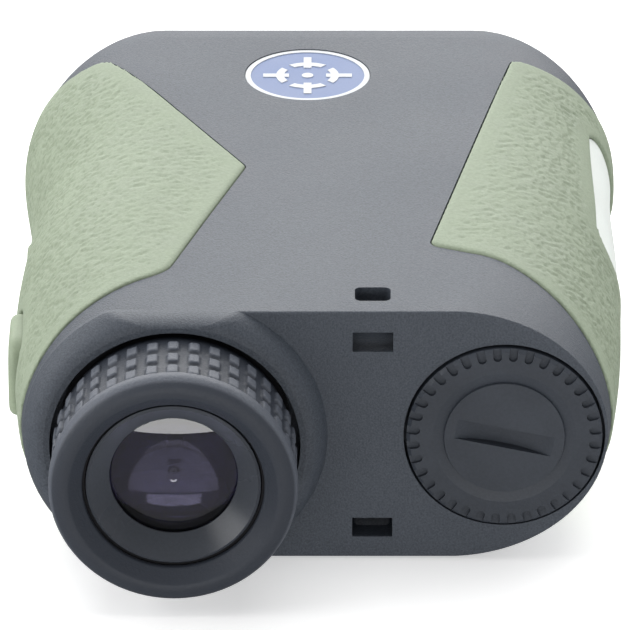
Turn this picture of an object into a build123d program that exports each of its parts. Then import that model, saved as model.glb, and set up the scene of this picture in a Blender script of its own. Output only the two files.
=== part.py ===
from build123d import *
import math
import os

# Compact handheld laser rangefinder lying on its wide side.
# +Y is the line of sight, X runs across the two lenses, +Z is up.
# Origin: middle of the footprint, on the face the instrument rests on.

os.makedirs("parts", exist_ok=True)

# ---------------------------------------------------------------- driving dimensions, mm
LENGTH = 111.8               # eyecup rim to front rim
BODY_LENGTH = 95.2           # rear plate to front rim
THICKNESS = 36.0             # bare housing, without the armour
PAD_PROUD = 0.3              # armour stands this far out of the housing
WALL = 2.2
REAR_WALL = 3.0
END_SIZE = 19.0              # sideways size of the rounded long edges
NOSE_WIDTH = 7.2             # front corners, sideways
NOSE_LENGTH = 13.7           # front corners, along the body
NOSE_END = 12.7              # sideways size of the rounded long edges at the front rim
ROLL_LENGTH = 6.7            # roll of the front edge, along the body
ROLL_DROP = 2.4              # roll of the front edge, towards the middle
FLAT_TRIM = 0.02             # the wide faces are cut flat by this much

EYE_X = -19.0                # eyepiece and objective axis
RECEIVER_X = 17.5            # receiving lens axis
BATTERY_X = 24.2             # battery axis
FIT = 0.08                   # radial clearance of a running fit
GAP = 0.3                    # clearance between moving neighbours

# ---------------------------------------------------------------- derived places
FRONT_Y = LENGTH / 2
REAR_Y = FRONT_Y - BODY_LENGTH
RIM_Y = -LENGTH / 2
BOTTOM_Z = PAD_PROUD
MID_Z = BOTTOM_Z + THICKNESS / 2
TOP_Z = BOTTOM_Z + THICKNESS
HALF_T = THICKNESS / 2
NOSE_Y = FRONT_Y - NOSE_LENGTH

EYE_AXIS = Axis((EYE_X, 0, MID_Z), (0, 1, 0))
RECEIVER_AXIS = Axis((RECEIVER_X, 0, MID_Z), (0, 1, 0))
BATTERY_AXIS = Axis((BATTERY_X, 0, MID_Z), (0, 1, 0))

# distance ahead of the rear plate, half widths on the button side and on the label side, end size
WAIST = [
    (0.0, 39.0, 37.8, 21.0),
    (3.0, 39.35, 38.2, 20.4),
    (10.0, 40.0, 39.0, 19.6),
    (22.0, 40.65, 40.0, END_SIZE),
    (34.0, 40.8, 40.5, END_SIZE),
    (46.0, 40.2, 41.0, END_SIZE),
    (58.0, 39.65, 40.9, END_SIZE),
    (70.0, 40.6, 40.9, END_SIZE),
    (79.0, 41.35, 41.3, END_SIZE),
]


def across(y):
    """Plane across the body at y: local x is X, local y is Z, its normal points to the rear."""
    return Plane(origin=(0, y, 0), x_dir=(1, 0, 0), z_dir=(0, -1, 0))


def stations():
    """Sections along the body: y, left half width, right half width, half height, end size."""
    rows = [(REAR_Y + d, left, right, HALF_T, end) for d, left, right, end in WAIST]
    left, right = WAIST[-1][1:3]
    for angle in (20, 31, 42, 54, 67, 77, 84, 90):
        y = NOSE_Y + NOSE_LENGTH * math.sin(math.radians(angle))
        closing = 1 - math.cos(math.radians(angle))
        roll = min(1.0, max(0.0, (y - (FRONT_Y - ROLL_LENGTH)) / ROLL_LENGTH))
        drop = ROLL_DROP * (1 - math.sqrt(1 - roll ** 2))
        end = END_SIZE - (END_SIZE - NOSE_END) * closing
        rows.append((y, left - NOSE_WIDTH * closing, right - NOSE_WIDTH * closing, HALF_T - drop, end))
    return rows


def body_form(inset):
    """The outer form of the instrument, every section drawn in by inset, with flat wide faces."""
    with BuildPart() as form:
        for y, left, right, half_t, end in stations():
            a = end - inset
            b = half_t - inset + FLAT_TRIM
            x_left = -left + end
            x_right = right - end
            with BuildSketch(across(y)):
                with BuildLine():
                    Line((x_left, MID_Z - b), (x_right, MID_Z - b))
                    EllipticalCenterArc((x_right, MID_Z), a, b, start_angle=-90, arc_size=180)
                    Line((x_right, MID_Z + b), (x_left, MID_Z + b))
                    EllipticalCenterArc((x_left, MID_Z), a, b, start_angle=90, arc_size=180)
                make_face()
        loft()
        with BuildSketch(Plane.XY.offset(MID_Z - HALF_T + inset)):
            Rectangle(2 * LENGTH, 2 * LENGTH)
        extrude(amount=THICKNESS - 2 * inset, mode=Mode.INTERSECT)
    return form.part


def ring_profile(axis_x, points):
    """Half section of a turned piece; points are (radius, y)."""
    with BuildSketch(Plane.XY.offset(MID_Z)) as half:
        with BuildLine():
            Polyline(*[(axis_x + r, y) for r, y in points], close=True)
        make_face()
    return half.sketch


def tube(axis_x, r_in, r_out, y0, y1):
    """Half section of a plain ring between y0 and y1."""
    return ring_profile(axis_x, [(r_in, y0), (r_out, y0), (r_out, y1), (r_in, y1)])


def disc(axis_x, z, radius, y):
    """Circle in a plane across the body."""
    with BuildSketch(across(y)) as face:
        with Locations((axis_x, z)):
            Circle(radius)
    return face.sketch


def side_slot(x, y, length, height, corner, side=-1):
    """Rounded rectangle in a plane square to X, extruding towards the middle of the body."""
    plane = Plane(origin=(x, y, MID_Z), x_dir=(0, 1, 0), z_dir=(-side, 0, 0))
    with BuildSketch(plane) as face:
        RectangleRounded(length, height, corner)
    return face.sketch


def export(node, name):
    node.part.label = name
    export_step(node.part, "parts/" + name + ".step")


OUTER = body_form(0)

# ---------------------------------------------------------------- armour outlines
# plan views, (x, distance ahead of the rear plate), corner radii in the same order
PAD_THICK = 1.2
PAD_FLOOR = 1.3 - PAD_PROUD
SEAM = 0.12
LEFT_PAD = [
    ((-46.0, 1.5), 0.1), ((-38.5, 2.6), 6.0), ((-33.4, 5.6), 8.0), ((-20.2, 11.6), 6.0),
    ((-14.6, 30.2), 60.0), ((-9.9, 45.4), 1.6), ((-30.0, 84.4), 3.0), ((-46.0, 87.4), 0.1),
]
RIGHT_PAD = [
    ((46.0, -1.0), 0.1), ((37.6, 5.2), 9.0), ((31.5, 10.4), 24.0), ((23.6, 16.2), 20.0),
    ((14.4, 20.2), 1.8), ((26.9, 82.3), 1.6), ((46.0, 82.9), 0.1),
]


def pad_outline(corners, trim):
    """Prism over an armour outline, drawn in by trim."""
    points = [(x, REAR_Y + d) for (x, d), _ in corners]
    radii = [r for _, r in corners]
    with BuildPart() as prism:
        with BuildSketch(Plane.XY.offset(-1)):
            with BuildLine():
                FilletPolyline(*points, radius=radii, close=True)
            make_face()
            if trim:
                offset(amount=-trim)
        extrude(amount=THICKNESS + 4)
    return prism.part


# ---------------------------------------------------------------- side openings
BUTTON_Y = REAR_Y + 21.0
BUTTON_LENGTH = 13.6
BUTTON_HEIGHT = 11.4
BUTTON_FACE_X = -41.5
BUTTON_TRAVEL = 0.6
MODE_Y = REAR_Y + 50.0
MODE_SIZE = 8.0
MODE_FACE_X = -40.2
MODE_TRAVEL = 0.5
POCKET_X = -38.1             # flat seats of the two buttons, inside the wall
FLANGE_OVER = 1.0            # button flange beyond the button, all round
FLANGE_THICK = 0.8
SIDE_CLEAR = 0.25

LABEL_Y = REAR_Y + 57.2
LABEL_LENGTH = 36.0
LABEL_HEIGHT = 20.4
LABEL_CORNER = 4.0

# ---------------------------------------------------------------- eyepiece
BOSS_R = 20.0
BOSS_OUT = 3.2
BOSS_SIDE_ROLL = 6.0         # the boss's sides roll inwards over this depth, its top and bottom over BOSS_OUT
BOSS_RIM_R = 16.9
BOSS_BLEND = 4.0
BORE_R = 16.45
BORE_Y = REAR_Y + 2.0        # bottom of the ring's bore
TUBE_HOLE_R = 13.2
BOSS_BACK_Y = BORE_Y + REAR_WALL

# ---------------------------------------------------------------- battery opening
CAP_R = 12.85
CAP_PROUD = 0.8
CAP_RECESS_R = CAP_R + 0.4
CAP_RECESS = 2.8
THREAD_R = 10.4
COLLAR_R = 12.9
COLLAR_Y = REAR_Y + 8.6

# ---------------------------------------------------------------- lanyard slots
SLOT_X = 6.9
SLOT_OFF = 13.6              # slot centres above and below the middle
SLOT_W = 5.3
SLOT_H = 2.8
SLOT_TOP_W = 4.7
SLOT_TOP_START = 3.3         # the bar that the cord goes round ends here
SLOT_TOP_END = 7.4

# ---------------------------------------------------------------- badge
BADGE_X = -1.7
BADGE_Y = REAR_Y + 76.3
BADGE_R = 8.8
BADGE_DEPTH = 0.6

# ---------------------------------------------------------------- front opening
BEZEL_W = 64.0
BEZEL_H = 29.6
BEZEL_CORNER = 11.0
BEZEL_Y = FRONT_Y - 1.2      # face of the front bezel
BEZEL_THICK = 3.0
SEAT_Y = BEZEL_Y - BEZEL_THICK - 0.6
CAVITY_END_Y = SEAT_Y - 2.0

# ---------------------------------------------------------------- chassis seats
PLATE_Z = BOTTOM_Z + WALL + 1.1
CHASSIS_SCREWS = [(-5.0, -14.0), (4.0, -14.0), (-22.0, 30.0), (22.0, 30.0)]

# ================================================================ main housing
def boss_section(depth):
    """Boss outline at a depth behind the rear plate: a circle with flattened top and bottom."""
    side = math.sqrt(1 - ((BOSS_SIDE_ROLL - BOSS_OUT + depth) / BOSS_SIDE_ROLL) ** 2)
    side_at_plate = math.sqrt(1 - ((BOSS_SIDE_ROLL - BOSS_OUT) / BOSS_SIDE_ROLL) ** 2)
    top = math.sqrt(1 - (depth / BOSS_OUT) ** 2)
    radius = BOSS_RIM_R + (BOSS_R - BOSS_RIM_R) * side / side_at_plate
    half_height = BOSS_RIM_R + (HALF_T - BOSS_RIM_R) * top
    with BuildSketch(across(REAR_Y - depth)) as outline:
        with Locations((EYE_X, MID_Z)):
            Circle(radius)
            Rectangle(3 * BOSS_R, 2 * half_height, mode=Mode.INTERSECT)
        fillet(outline.vertices(), BOSS_BLEND)
    return outline.sketch


BOSS_DEPTHS = (0.0, 0.7, 1.4, 2.0, 2.5, 2.9, 3.1, 3.17)
BOSS_ROOT = 0.7
REAR_EDGE = 0.25             # rounding of the rear plate's edge

with BuildPart() as main_housing:
    add(OUTER)
    fillet(main_housing.faces().sort_by(Axis.Y)[0].edges(), REAR_EDGE)
    extrude(boss_section(0), amount=-BOSS_ROOT)
    with BuildPart(mode=Mode.PRIVATE) as boss:
        for depth in BOSS_DEPTHS:
            add(boss_section(depth))
        loft()
    add(boss.part)

    # hollow, with thicker places round the eyepiece, the battery collar and the lanyard pockets
    with BuildPart(mode=Mode.PRIVATE) as hollow:
        add(body_form(WALL))
        with BuildSketch(across(CAVITY_END_Y)):
            with Locations((0, MID_Z)):
                Rectangle(100, THICKNESS)
        extrude(amount=CAVITY_END_Y - (REAR_Y + REAR_WALL), mode=Mode.INTERSECT)
        extrude(disc(EYE_X, MID_Z, BOSS_R - 1.5, BOSS_BACK_Y), amount=10, mode=Mode.SUBTRACT)
        extrude(disc(BATTERY_X, MID_Z, COLLAR_R, COLLAR_Y), amount=10, mode=Mode.SUBTRACT)
        for side in (-1, 1):
            with BuildSketch(across(REAR_Y + SLOT_TOP_END + 2)):
                with Locations((SLOT_X, MID_Z + side * (SLOT_OFF + 1))):
                    Rectangle(SLOT_W + 4, SLOT_H + 6)
            extrude(amount=12, mode=Mode.SUBTRACT)
    add(hollow.part, mode=Mode.SUBTRACT)

    # posts for the chassis screws
    for x, y in CHASSIS_SCREWS:
        with BuildSketch(Plane.XY.offset(BOTTOM_Z + WALL / 2)):
            with Locations((x, y)):
                Circle(2.4)
        extrude(amount=PLATE_Z - 0.05 - BOTTOM_Z - WALL / 2)
        with BuildSketch(Plane.XY.offset(PLATE_Z - 1.1)):
            with Locations((x, y)):
                Circle(0.97)
        extrude(amount=2, mode=Mode.SUBTRACT)

    # front opening with the seat of the bezel
    for y, grow in ((FRONT_Y + 1, 0.15), (SEAT_Y, -1.5)):
        with BuildSketch(across(y)):
            with Locations((0, MID_Z)):
                RectangleRounded(BEZEL_W + 2 * grow, BEZEL_H + 2 * grow, BEZEL_CORNER + grow)
        extrude(amount=y - (SEAT_Y if grow > 0 else CAVITY_END_Y - 0.5), mode=Mode.SUBTRACT)

    # eyepiece bore and the hole for the eyepiece tube
    extrude(disc(EYE_X, MID_Z, BORE_R, BORE_Y), amount=10, mode=Mode.SUBTRACT)
    extrude(disc(EYE_X, MID_Z, TUBE_HOLE_R, BOSS_BACK_Y + 1), amount=10, mode=Mode.SUBTRACT)

    # battery cap recess and collar
    extrude(disc(BATTERY_X, MID_Z, CAP_RECESS_R, REAR_Y + CAP_RECESS), amount=10, mode=Mode.SUBTRACT)
    extrude(disc(BATTERY_X, MID_Z, THREAD_R + 0.2, COLLAR_Y + 1), amount=14, mode=Mode.SUBTRACT)

    # lanyard pockets: in through the rear plate, out through each wide face
    for side in (-1, 1):
        with BuildSketch(across(REAR_Y + SLOT_TOP_END)):
            with Locations((SLOT_X, MID_Z + side * SLOT_OFF)):
                Rectangle(SLOT_W, SLOT_H)
        extrude(amount=SLOT_TOP_END + 1, mode=Mode.SUBTRACT)
        slot_mid_y = REAR_Y + (SLOT_TOP_START + SLOT_TOP_END) / 2
        with BuildSketch(Plane.XY.offset(MID_Z + side * SLOT_OFF)):
            with Locations((SLOT_X, slot_mid_y)):
                RectangleRounded(SLOT_TOP_W, SLOT_TOP_END - SLOT_TOP_START, 0.9)
        extrude(amount=side * 8, mode=Mode.SUBTRACT)

    # armour recesses
    for corners in (LEFT_PAD, RIGHT_PAD):
        with BuildPart(mode=Mode.PRIVATE) as recess:
            add(pad_outline(corners, 0))
            add(body_form(PAD_FLOOR), mode=Mode.SUBTRACT)
        add(recess.part, mode=Mode.SUBTRACT)

    # button holes and their flat seats
    for y, length, height, corner in (
        (BUTTON_Y, BUTTON_LENGTH, BUTTON_HEIGHT, 4.0),
        (MODE_Y, MODE_SIZE, MODE_SIZE, MODE_SIZE / 2 - 0.01),
    ):
        grow = 2 * SIDE_CLEAR
        extrude(side_slot(-50, y, length + grow, height + grow, corner + SIDE_CLEAR),
                amount=16, mode=Mode.SUBTRACT)
        seat = 2 * (FLANGE_OVER + SIDE_CLEAR)
        extrude(side_slot(POCKET_X, y, length + seat, height + seat, corner + 1), amount=5,
                mode=Mode.SUBTRACT)

    # badge recess
    with BuildSketch(Plane.XY.offset(TOP_Z - BADGE_DEPTH)):
        with Locations((BADGE_X, BADGE_Y)):
            Circle(BADGE_R)
    extrude(amount=5, mode=Mode.SUBTRACT)

export(main_housing, "main_housing")

# ================================================================ armour
for side_name, corners in (("left_armour", LEFT_PAD), ("right_armour", RIGHT_PAD)):
    with BuildPart() as armour:
        add(body_form(-PAD_PROUD))
        add(pad_outline(corners, SEAM), mode=Mode.INTERSECT)
        add(body_form(PAD_THICK - PAD_PROUD), mode=Mode.SUBTRACT)
        if side_name == "left_armour":
            grow = 2 * SIDE_CLEAR + 0.1
            power_hole = side_slot(-50, BUTTON_Y, BUTTON_LENGTH + grow, BUTTON_HEIGHT + grow, 4.3)
            extrude(power_hole, amount=16, mode=Mode.SUBTRACT)
            mode_hole = side_slot(-50, MODE_Y, MODE_SIZE + grow, MODE_SIZE + grow, 4.29)
            extrude(mode_hole, amount=16, mode=Mode.SUBTRACT)
        else:
            label_hole = side_slot(50, LABEL_Y, LABEL_LENGTH, LABEL_HEIGHT, LABEL_CORNER, side=1)
            extrude(label_hole, amount=20, mode=Mode.SUBTRACT)
    export(armour, side_name)

# label plate, set a little below the armour's surface
LABEL_SINK = 0.2
with BuildPart() as spec_label:
    add(body_form(LABEL_SINK))
    label_blank = side_slot(50, LABEL_Y, LABEL_LENGTH - 0.4, LABEL_HEIGHT - 0.4, LABEL_CORNER - 0.2, side=1)
    extrude(label_blank, amount=20, mode=Mode.INTERSECT)
    add(body_form(PAD_FLOOR - 0.1), mode=Mode.SUBTRACT)
export(spec_label, "spec_label")

# ================================================================ badge
RING_WIDTH = 0.75
FIELD_DEPTH = 0.25
MARK_R = 4.4
MARK_WIDTH = 1.1


def aiming_mark():
    """Broken circle with four ticks and a dot."""
    with BuildSketch(Plane.XY) as mark:
        Circle(MARK_R)
        Circle(MARK_R - MARK_WIDTH, mode=Mode.SUBTRACT)
        with PolarLocations(MARK_R, 4, start_angle=45):
            Rectangle(3.4, 1.4, mode=Mode.SUBTRACT)
        with PolarLocations(MARK_R, 4):
            Rectangle(3.6, MARK_WIDTH)
        Circle(0.8)
    return mark.sketch


BADGE_FLOOR_Z = TOP_Z - BADGE_DEPTH
BADGE_TOP_Z = TOP_Z - 0.12
with BuildPart() as badge_plate:
    with BuildSketch(Plane.XY.offset(BADGE_FLOOR_Z)):
        with Locations((BADGE_X, BADGE_Y)):
            Circle(BADGE_R - 0.1)
    extrude(amount=BADGE_TOP_Z - BADGE_FLOOR_Z)
    with BuildSketch(Plane.XY.offset(BADGE_TOP_Z - FIELD_DEPTH)):
        with Locations((BADGE_X, BADGE_Y)):
            Circle(BADGE_R - 0.1 - RING_WIDTH)
            add(aiming_mark(), mode=Mode.SUBTRACT)
    extrude(amount=1, mode=Mode.SUBTRACT)
export(badge_plate, "badge_plate")

with BuildPart() as badge_enamel:
    with BuildSketch(Plane.XY.offset(BADGE_TOP_Z - FIELD_DEPTH)):
        with Locations((BADGE_X, BADGE_Y)):
            Circle(BADGE_R - 0.1 - RING_WIDTH)
            add(aiming_mark(), mode=Mode.SUBTRACT)
    extrude(amount=FIELD_DEPTH - 0.1)
export(badge_enamel, "badge_enamel")

# ================================================================ buttons
BUTTON_ROUND = 1.1


def push_button(y, length, height, corner, face_x, stem_end_x):
    """Soft button: rounded head, flange behind the wall, stem to its switch."""
    flange_x = POCKET_X + SIDE_CLEAR
    with BuildPart() as button:
        extrude(side_slot(face_x, y, length, height, corner), amount=flange_x - face_x)
        fillet(button.faces().sort_by(Axis.X)[0].edges(), BUTTON_ROUND)
        over = 2 * FLANGE_OVER
        extrude(side_slot(flange_x, y, length + over, height + over, corner + 0.8), amount=FLANGE_THICK)
        stem_x = flange_x + FLANGE_THICK
        extrude(side_slot(stem_x, y, 4.0, 4.0, 1.9), amount=stem_end_x - stem_x)
    return button


SWITCH_TIP_X = -35.8
power_button = push_button(BUTTON_Y, BUTTON_LENGTH, BUTTON_HEIGHT, 4.0, BUTTON_FACE_X,
                           SWITCH_TIP_X - BUTTON_TRAVEL - 0.1)
export(power_button, "power_button")
mode_button = push_button(MODE_Y, MODE_SIZE, MODE_SIZE, MODE_SIZE / 2 - 0.01, MODE_FACE_X,
                          SWITCH_TIP_X - MODE_TRAVEL - 0.1)
export(mode_button, "mode_button")

# ================================================================ eyepiece, turned parts
CUP_R = 16.2
CUP_ROUND = 2.0              # rounding of the rim's outer edge
CUP_BASE_R = 15.5
KNURL_R = 16.0
KNURL_COUNT = 36
KNURL_ROWS = 3
KNURL_PITCH = 3.4
KNURL_FIRST = 4.3
KNURL_LENGTH = 2.2
KNURL_GAP = 1.3
CUP_MOUTH_R = 11.8
CUP_DISH = 1.8               # the face slopes in from the rim to the mouth by this much
CUP_FACE = 2.65              # back of the front wall, measured from the rim
RING_OUT_R = 14.5
TUBE_OUT_R = 12.8
RING_IN_R = TUBE_OUT_R + FIT
TUBE_IN_R = 11.5
CELL_R = TUBE_IN_R - FIT
CUP_BACK_Y = REAR_Y - BOSS_OUT + 1.0
RING_FRONT_Y = RIM_Y + 3.5
RING_BACK_Y = BORE_Y - 1.2

with BuildPart() as eyecup:
    with BuildSketch(Plane.XY.offset(MID_Z)):
        with BuildLine():
            crest = (EYE_X + CUP_R - CUP_ROUND, RIM_Y)
            rim_edge = (EYE_X + CUP_R, RIM_Y + CUP_ROUND)
            CenterArc((crest[0], rim_edge[1]), CUP_ROUND, start_angle=-90, arc_size=90)
            Polyline(
                rim_edge, (EYE_X + CUP_R, RIM_Y + 2.7), (EYE_X + CUP_BASE_R, RIM_Y + 3.05),
                (EYE_X + CUP_BASE_R, CUP_BACK_Y), (EYE_X + RING_OUT_R + 0.02, CUP_BACK_Y),
                (EYE_X + RING_OUT_R + 0.02, RIM_Y + CUP_FACE), (EYE_X + CUP_MOUTH_R, RIM_Y + CUP_FACE),
                (EYE_X + CUP_MOUTH_R, RIM_Y + CUP_DISH), (EYE_X + CUP_MOUTH_R + 0.3, RIM_Y + CUP_DISH - 0.25),
                (crest[0] - 0.6, RIM_Y + 0.1), crest,
            )
        make_face()
    revolve(axis=EYE_AXIS)
    for row in range(KNURL_ROWS):
        row_y = RIM_Y + KNURL_FIRST + row * KNURL_PITCH
        band = tube(EYE_X, CUP_BASE_R - 0.2, KNURL_R, row_y - KNURL_LENGTH / 2, row_y + KNURL_LENGTH / 2)
        revolve(band, axis=EYE_AXIS)
    with BuildSketch(across(CUP_BACK_Y - 0.4)):
        with Locations((EYE_X, MID_Z)):
            with PolarLocations(KNURL_R, KNURL_COUNT, start_angle=180 / KNURL_COUNT):
                Rectangle(2 * (KNURL_R - CUP_BASE_R), KNURL_GAP)
    extrude(amount=CUP_BACK_Y - 0.4 - (RIM_Y + 3.05), mode=Mode.SUBTRACT)
export(eyecup, "eyecup")

# dioptre ring with the cam groove on its inner wall
DIOPTRE_TURN = 120.0
FOCUS_TRAVEL = 0.8
PIN_R = 0.9
PIN_Y = RIM_Y + 10.5
PIN_TIP_R = 13.45
GROOVE_R = 13.75
GROOVE_MARGIN = 8.0          # degrees of groove beyond the pin's last place
groove_half_turn = DIOPTRE_TURN + GROOVE_MARGIN
groove_half_rise = FOCUS_TRAVEL * groove_half_turn / DIOPTRE_TURN
with BuildPart() as groove:
    with BuildLine():
        cam_path = Helix(
            pitch=FOCUS_TRAVEL * 360 / DIOPTRE_TURN, height=2 * groove_half_rise,
            radius=GROOVE_R - 0.75, lefthand=True,
        )
    with BuildSketch(Plane(origin=cam_path @ 0, x_dir=(1, 0, 0), z_dir=cam_path % 0)):
        Rectangle(1.5, 2 * PIN_R + 0.3)
    sweep(is_frenet=True)
start_angle = math.radians(groove_half_turn)
groove_place = Plane(
    origin=(EYE_X, PIN_Y - groove_half_rise, MID_Z),
    x_dir=(math.sin(start_angle), 0, math.cos(start_angle)), z_dir=(0, 1, 0),
)
with BuildPart() as diopter_ring:
    revolve(tube(EYE_X, RING_IN_R, RING_OUT_R, RING_FRONT_Y, RING_BACK_Y), axis=EYE_AXIS)
    add(groove_place.location * groove.part, mode=Mode.SUBTRACT)
export(diopter_ring, "diopter_ring")

# fixed tube: flange on the bore's bottom, key slot for the cam pin, grooves for clip and seal
TUBE_FRONT_Y = RIM_Y + 2.75
TUBE_BACK_Y = BOSS_BACK_Y + 2.6
CLIP_Y = RING_FRONT_Y - 0.1
CLIP_THICK = 0.3
CLIP_IN_R = 12.3
SEAL_Y = PIN_Y + 4.4
SEAL_WIDTH = 1.1
SEAL_IN_R = 12.1
with BuildPart() as eyepiece_tube:
    profile = [
        (TUBE_IN_R, TUBE_FRONT_Y), (TUBE_OUT_R, TUBE_FRONT_Y),
        (TUBE_OUT_R, CLIP_Y - CLIP_THICK - 0.02), (CLIP_IN_R, CLIP_Y - CLIP_THICK - 0.02),
        (CLIP_IN_R, CLIP_Y + 0.02), (TUBE_OUT_R, CLIP_Y + 0.02),
        (TUBE_OUT_R, SEAL_Y), (SEAL_IN_R, SEAL_Y), (SEAL_IN_R, SEAL_Y + SEAL_WIDTH),
        (TUBE_OUT_R, SEAL_Y + SEAL_WIDTH), (TUBE_OUT_R, BORE_Y - 0.9), (BORE_R - 1.2, BORE_Y - 0.9),
        (BORE_R - 1.2, BORE_Y), (TUBE_OUT_R, BORE_Y), (TUBE_OUT_R, TUBE_BACK_Y), (TUBE_IN_R, TUBE_BACK_Y),
    ]
    revolve(ring_profile(EYE_X, profile), axis=EYE_AXIS)
    with BuildSketch(Plane.XY.offset(MID_Z)):
        with Locations((EYE_X, PIN_Y)):
            SlotOverall(2 * (FOCUS_TRAVEL + PIN_R + GAP), 2 * PIN_R + 0.3, rotation=90)
    extrude(amount=TUBE_OUT_R + 2, mode=Mode.SUBTRACT)
export(eyepiece_tube, "eyepiece_tube")

with BuildPart() as diopter_clip:
    revolve(tube(EYE_X, CLIP_IN_R + 0.02, 13.9, CLIP_Y - CLIP_THICK, CLIP_Y), axis=EYE_AXIS)
    with BuildSketch(Plane.XY.offset(MID_Z)):
        with Locations((EYE_X + 13, CLIP_Y)):
            Rectangle(4, 2)
    extrude(amount=2, both=True, mode=Mode.SUBTRACT)
export(diopter_clip, "diopter_clip")

with BuildPart() as eyepiece_o_ring:
    revolve(tube(EYE_X, SEAL_IN_R + 0.02, RING_IN_R - 0.02, SEAL_Y + 0.1, SEAL_Y + SEAL_WIDTH - 0.1),
            axis=EYE_AXIS)
export(eyepiece_o_ring, "eyepiece_o_ring")

NUT_R = 15.2
with BuildPart() as eyepiece_nut:
    revolve(tube(EYE_X, TUBE_OUT_R + 0.02, NUT_R, BOSS_BACK_Y + 0.05, TUBE_BACK_Y - 0.2), axis=EYE_AXIS)
    with BuildSketch(across(TUBE_BACK_Y)):
        with Locations((EYE_X, MID_Z)):
            with PolarLocations(NUT_R, 4, start_angle=45):
                Rectangle(2.4, 2.4)
    extrude(amount=1.6, mode=Mode.SUBTRACT)
export(eyepiece_nut, "eyepiece_nut")


def lens_profile(axis_x, radius, vertex_y, bulge_front, edge, bulge_back):
    """Half section of a lens; the front faces -Y and its bulge is the rise of the vertex."""
    rim_y = vertex_y + bulge_front
    back_y = rim_y + edge
    with BuildSketch(Plane.XY.offset(MID_Z)) as half:
        with BuildLine():
            ThreePointArc((axis_x - radius, rim_y), (axis_x, vertex_y), (axis_x + radius, rim_y))
            Line((axis_x + radius, rim_y), (axis_x + radius, back_y))
            ThreePointArc((axis_x + radius, back_y), (axis_x, back_y + bulge_back), (axis_x - radius, back_y))
            Line((axis_x - radius, back_y), (axis_x - radius, rim_y))
        make_face()
        with Locations((axis_x - radius, vertex_y)):
            Rectangle(2 * radius, 60, mode=Mode.SUBTRACT)
    return half.sketch


# sliding cell with the two lens groups
EYE_LENS_R = 8.9
CELL_IN_R = EYE_LENS_R + 0.1
LENS_VERTEX_Y = RIM_Y + 3.9
LENS_BULGE = 1.6
LENS_EDGE = 1.6
CELL_FRONT_Y = RIM_Y + 4.4
CELL_BACK_Y = RIM_Y + 17.3
lens_rim_y = LENS_VERTEX_Y + LENS_BULGE
with BuildPart() as ocular_cell:
    revolve(tube(EYE_X, CELL_IN_R, CELL_R, CELL_FRONT_Y, CELL_BACK_Y), axis=EYE_AXIS)
    with BuildSketch(Plane.XY.offset(MID_Z)):
        with Locations((EYE_X, PIN_Y)):
            Circle(PIN_R + 0.02)
    extrude(amount=CELL_R + 1, mode=Mode.SUBTRACT)
export(ocular_cell, "ocular_cell")

with BuildPart() as cam_pin:
    with BuildSketch(Plane.XY.offset(MID_Z + CELL_IN_R + 0.4)):
        with Locations((EYE_X, PIN_Y)):
            Circle(PIN_R)
    extrude(amount=PIN_TIP_R - CELL_IN_R - 0.4)
export(cam_pin, "cam_pin")

with BuildPart() as eye_lens:
    revolve(lens_profile(EYE_X, EYE_LENS_R, LENS_VERTEX_Y, LENS_BULGE, LENS_EDGE, 1.0), axis=EYE_AXIS)
export(eye_lens, "eye_lens")

CONE_R = 11.35
CONE_FRONT_Y = RIM_Y + 2.2
with BuildPart() as ocular_retainer:
    profile = [
        (8.35, lens_rim_y - 0.55), (11.0, CONE_FRONT_Y), (CONE_R, CONE_FRONT_Y + 0.2),
        (CONE_R, CELL_FRONT_Y - 0.05), (EYE_LENS_R + 0.05, CELL_FRONT_Y - 0.05),
        (EYE_LENS_R + 0.05, lens_rim_y - 0.2), (8.35, lens_rim_y - 0.3),
    ]
    revolve(ring_profile(EYE_X, profile), axis=EYE_AXIS)
export(ocular_retainer, "ocular_retainer")

spacer_front_y = lens_rim_y + LENS_EDGE + 0.25
spacer_back_y = spacer_front_y + 3.3
with BuildPart() as ocular_spacer:
    revolve(tube(EYE_X, 8.1, EYE_LENS_R, spacer_front_y, spacer_back_y), axis=EYE_AXIS)
export(ocular_spacer, "ocular_spacer")

with BuildPart() as ocular_inner_lens:
    revolve(lens_profile(EYE_X, EYE_LENS_R, spacer_back_y - 0.9, 1.2, 1.6, 0.4), axis=EYE_AXIS)
export(ocular_inner_lens, "ocular_inner_lens")

stop_front_y = spacer_back_y + 2.1
with BuildPart() as ocular_stop:
    revolve(tube(EYE_X, 7.6, EYE_LENS_R, stop_front_y, stop_front_y + 1.6), axis=EYE_AXIS)
export(ocular_stop, "ocular_stop")

# ================================================================ battery cap
CAP_FACE_Y = REAR_Y - CAP_PROUD
CAP_BACK_Y = REAR_Y + 2.0
STEM_IN_R = 8.7
STEM_BACK_Y = COLLAR_Y - 0.6
NOTCH_COUNT = 36
NOTCH_R = 11.65
NOTCH_WIDTH = 1.1
NOTCH_DEPTH = 0.5
DISH_OUT_R = 9.4
DISH_IN_R = 8.0
DISH_DEPTH = 0.35
COIN_LENGTH = 13.0
COIN_WIDTH = 2.8
COIN_DEPTH = 1.5
COIN_TILT = -12.0
coin_cutter_r = (COIN_LENGTH ** 2 / 4 + COIN_DEPTH ** 2) / (2 * COIN_DEPTH)

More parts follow.
